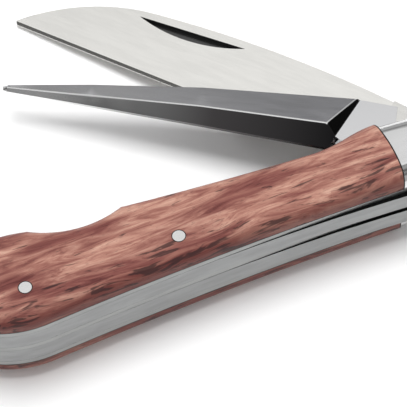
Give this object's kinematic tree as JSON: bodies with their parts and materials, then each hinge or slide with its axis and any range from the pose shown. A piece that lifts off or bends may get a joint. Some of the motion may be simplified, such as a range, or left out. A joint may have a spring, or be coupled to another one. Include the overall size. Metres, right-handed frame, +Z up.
{
  "type": "folding pocket knife",
  "caption": "Folding pocket knife with a sheepfoot blade and a tapered reamer, each on its own back spring, in a wooden handle with steel liners and bolsters.",
  "frame": {"origin": "where the axis of the pivot pin meets the flat back side that the knife lies on", "axes": "+Z up through the thickness of the handle, +X along the handle towards the bolsters, +Y towards the side that the tools open from"},
  "size_m": [0.1091, 0.0807, 0.0196],
  "materials": {
    "rosewood": "oiled reddish-brown wood, satin",
    "bolster_steel": "polished steel",
    "liner_steel": "brushed flush with the springs",
    "spring_steel": "brushed",
    "blade_steel": "fine satin, warm grey",
    "reamer_steel": "satin, darker towards its base",
    "pin_steel": "polished and flush"
  },
  "bodies": {
    "handle": {"front_scale": "rosewood", "back_scale": "rosewood", "front_bolster": "bolster_steel", "back_bolster": "bolster_steel", "front_liner": "liner_steel", "centre_liner": "liner_steel", "back_liner": "liner_steel", "blade_spring": "spring_steel", "reamer_spring": "spring_steel", "pivot_pin": "pin_steel", "middle_pin": "pin_steel", "butt_pin": "pin_steel"},
    "main_blade": {"main_blade": "blade_steel"},
    "reamer": {"reamer": "reamer_steel"}
  },
  "joints": [
    {"name": "blade_pivot", "type": "hinge", "parent": "handle", "child": "main_blade", "pos_m": [0, 0, 0.0072], "axis": [0, 0, -1], "range_deg": [-44.9, 130.1], "deforming": ["blade_spring"]},
    {"name": "reamer_pivot", "type": "hinge", "parent": "handle", "child": "reamer", "pos_m": [0, 0, 0.0124], "axis": [0, 0, -1], "range_deg": [-31.2, 148.8], "deforming": ["reamer_spring"]}
  ]
}
